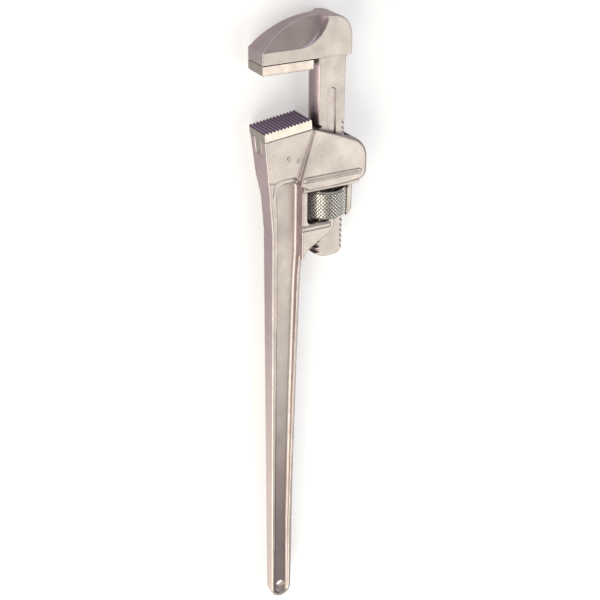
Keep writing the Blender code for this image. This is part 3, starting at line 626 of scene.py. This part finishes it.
class WRENCH_OT_nut(bpy.types.Operator):
    """Model the knurled adjusting nut"""
    bl_idname = "wrench.nut"
    bl_label = "Adjusting nut"

    def execute(self, context):
        sizes = context.scene.wrench_sizes
        piece = self.turned_nut(sizes)
        self.knurl(piece, sizes)
        make_active(piece)
        bpy.ops.object.shade_smooth_by_angle(angle=math.radians(15))
        finish_piece(piece, knurled_steel(), "nut", "nut_steel", "adjusting_nut")
        return {"FINISHED"}

    def knurled_wall(self, sizes):
        """Root radius, length and number of mesh rows of the wall that carries the knurl."""
        length = NUT_LENGTH - 2 * sizes.knurl_margin
        return NUT_RADIUS - sizes.knurl_depth, length, round(length / sizes.knurl_pitch * KNURL_STEPS)

    def turned_nut(self, sizes):
        """A ring extruded along the nut: bore, end face, chamfer, knurled wall, and back to the bore."""
        deselect_all()
        wall, length, rows = self.knurled_wall(sizes)
        rim = wall - NUT_CHAMFER
        bpy.ops.mesh.primitive_circle_add(vertices=sizes.knurl_starts * KNURL_STEPS, radius=NUT_BORE,
                                          fill_type="NOTHING", location=(0, 0, -NUT_LENGTH / 2))
        piece = bpy.context.object
        piece.name = "knurled_nut"
        bpy.ops.object.transform_apply(location=True, rotation=True, scale=True)
        bpy.ops.object.mode_set(mode="EDIT")
        bpy.ops.mesh.select_all(action="SELECT")
        radius = NUT_BORE
        profile = [(rim, 0.0), (wall, sizes.knurl_margin)]
        profile += [(wall, length / rows)] * rows
        profile += [(rim, sizes.knurl_margin), (NUT_BORE, 0.0)]
        for next_radius, rise in profile:
            bpy.ops.mesh.extrude_region_move(TRANSFORM_OT_translate={"value": (0, 0, rise)})
            scale = next_radius / radius
            if abs(scale - 1) > 1e-9:
                bpy.ops.transform.resize(value=(scale, scale, 1), center_override=(0, 0, 0))
            radius = next_radius
        bpy.ops.mesh.select_all(action="DESELECT")
        bpy.ops.mesh.select_non_manifold()
        bpy.ops.mesh.bridge_edge_loops()
        bpy.ops.mesh.select_all(action="SELECT")
        bpy.ops.mesh.normals_make_consistent(inside=False)
        bpy.ops.object.mode_set(mode="OBJECT")
        turn = Matrix(((0, 0, 1, 0), (1, 0, 0, 0), (0, 1, 0, 0), (0, 0, 0, 1)))
        piece.data.transform(Matrix.Translation(NUT_CENTRE) @ turn)
        return piece

    def knurl(self, piece, sizes):
        """Raise diamonds where two sets of crossing ridges are both high."""
        wall, length, rows = self.knurled_wall(sizes)
        count = len(piece.data.vertices)
        flat = np.empty(count * 3)
        piece.data.vertices.foreach_get("co", flat)
        places = flat.reshape(count, 3)
        across = places[:, 1:] - np.array((NUT_CENTRE.y, NUT_CENTRE.z))
        radius = np.linalg.norm(across, axis=1)
        turn = np.arctan2(across[:, 1], across[:, 0]) * sizes.knurl_starts / math.tau
        offset = places[:, 0] - NUT_CENTRE.x
        along = (offset + length / 2) * rows / length / KNURL_STEPS
        ridge_up = 1.0 - np.abs(2.0 * ((turn + along) % 1.0) - 1.0)
        ridge_down = 1.0 - np.abs(2.0 * ((turn - along) % 1.0) - 1.0)
        knurled = (np.abs(radius - wall) < 2 * WELD) & (np.abs(offset) < length / 2 - KNURL_RUN_OUT)
        ridge = np.minimum(ridge_up, ridge_down)
        height = np.where(knurled, np.minimum(KNURL_FLATS * ridge, 1.0) * sizes.knurl_depth, 0.0)
        places[:, 1:] += across / radius[:, None] * height[:, None]
        piece.data.vertices.foreach_set("co", places.ravel())
        piece.data.update()


class WRENCH_OT_springs(bpy.types.Operator):
    """Finish the flat spring and the coil spring"""
    bl_idname = "wrench.springs"
    bl_label = "Springs"

    def execute(self, context):
        steel = spring_steel()
        set_material(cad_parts["coil_spring"], steel)
        leaf = welded_copy("flat_spring", "leaf_spring")
        make_active(leaf)
        bpy.ops.object.mode_set(mode="EDIT")
        bpy.ops.mesh.select_all(action="SELECT")
        bpy.ops.mesh.dissolve_limited(angle_limit=math.radians(0.5))
        bpy.ops.mesh.quads_convert_to_tris()
        bpy.ops.object.mode_set(mode="OBJECT")
        apply_modifier(leaf, "BEVEL", width=LEAF_BEVEL, segments=2, limit_method="ANGLE",
                       angle_limit=math.radians(40), harden_normals=False)
        bpy.ops.object.shade_smooth_by_angle(angle=math.radians(30))
        set_material(leaf, steel)
        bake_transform(leaf)
        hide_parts("flat_spring")
        return {"FINISHED"}


class WRENCH_OT_stage(bpy.types.Operator):
    """Add the camera, the pale floor and the soft lights"""
    bl_idname = "wrench.stage"
    bl_label = "Stage"

    def execute(self, context):
        stage = context.scene.wrench_stage
        self.add_camera(context, stage)
        self.add_floor(stage)
        aim = Vector(stage.aim)
        self.add_light("front_key", aim, (0.42, -0.80, 0.50), 1.7, (2.2, 1.5), 32.0, (1.0, 0.965, 0.88))
        self.add_light("back_soft", aim, (0.26, 0.62, 0.80), 1.6, (1.6, 1.5), 10.0, (1.0, 0.975, 0.94))
        self.add_light("head_fill", aim, (-0.85, 0.10, 0.60), 1.8, (1.2, 0.6), 3.0, (0.95, 0.93, 1.0))
        self.add_world(context, stage)
        context.scene.view_settings.view_transform = "Standard"
        return {"FINISHED"}

    def add_camera(self, context, stage):
        """Looks down on the broad face from the jaw opening's side, with the hook jaw at the top."""
        upward = math.cos(stage.lift)
        back = Vector((-math.sin(stage.lift), -math.sin(stage.turn) * upward,
                       math.cos(stage.turn) * upward))
        right = back.cross(Vector((1, 0, 0))).normalized()
        up = back.cross(right)
        turn = Matrix((right, up, back)).transposed().to_4x4() @ Matrix.Rotation(stage.roll, 4, "Z")
        lens = bpy.data.cameras.new("camera")
        lens.lens = stage.lens
        lens.sensor_width = 36.0
        lens.clip_start = 0.01
        camera = bpy.data.objects.new("camera", lens)
        camera.matrix_world = Matrix.Translation(Vector(stage.aim) + back * stage.distance) @ turn
        context.scene.collection.objects.link(camera)
        context.scene.camera = camera

    def add_floor(self, stage):
        deselect_all()
        bpy.ops.mesh.primitive_plane_add(size=24.0, location=(0, 0, -0.0002))
        floor = bpy.context.object
        floor.name = "floor"
        floor.data.materials.append(floor_paint(stage))

    def add_light(self, name, aim, way, distance, size, power, colour):
        """A soft box that faces the aim from a direction."""
        data = bpy.data.lights.new(name, "AREA")
        data.shape = "RECTANGLE"
        data.size, data.size_y = size
        data.energy = power
        data.color = colour
        way = Vector(way).normalized()
        light = bpy.data.objects.new(name, data)
        light.matrix_world = (Matrix.Translation(aim + way * distance) @
                              way.to_track_quat("Z", "Y").to_matrix().to_4x4())
        bpy.context.scene.collection.objects.link(light)

    def add_world(self, context, stage):
        world = bpy.data.worlds.new("soft_room")
        world.use_nodes = True
        background = world.node_tree.nodes["Background"]
        background.inputs["Color"].default_value = (1.0, 1.0, 1.0, 1.0)
        background.inputs["Strength"].default_value = stage.room
        context.scene.world = world


class WRENCH_PT_panel(bpy.types.Panel):
    """Lists the wrench's steps"""
    bl_idname = "WRENCH_PT_panel"
    bl_label = "Pipe wrench"
    bl_space_type = "VIEW_3D"
    bl_region_type = "UI"
    bl_category = "Wrench"

    def draw(self, context):
        for step in STEPS:
            self.layout.operator(step.bl_idname)
        for group in ("wrench_sizes", "wrench_colours", "wrench_stage"):
            settings = getattr(context.scene, group)
            box = self.layout.box()
            for key in settings.__annotations__:
                box.prop(settings, key)


STEPS = (WRENCH_OT_casting, WRENCH_OT_hook_jaw, WRENCH_OT_heel_jaw, WRENCH_OT_nut, WRENCH_OT_springs,
         WRENCH_OT_stage)
GROUPS = (WrenchSizes, WrenchColours, WrenchStage)
CLASSES = (*GROUPS, *STEPS, WRENCH_PT_panel)


def register():
    for entry in CLASSES:
        bpy.utils.register_class(entry)
    bpy.types.Scene.wrench_sizes = bpy.props.PointerProperty(type=WrenchSizes)
    bpy.types.Scene.wrench_colours = bpy.props.PointerProperty(type=WrenchColours)
    bpy.types.Scene.wrench_stage = bpy.props.PointerProperty(type=WrenchStage)


def unregister():
    for group in ("wrench_sizes", "wrench_colours", "wrench_stage"):
        delattr(bpy.types.Scene, group)
    for entry in reversed(CLASSES):
        bpy.utils.unregister_class(entry)


def main():
    register()
    bpy.ops.wrench.stage()
    bpy.ops.wrench.casting()
    bpy.ops.wrench.hook_jaw()
    bpy.ops.wrench.heel_jaw()
    bpy.ops.wrench.nut()
    bpy.ops.wrench.springs()


if __name__ == "__main__":
    main()
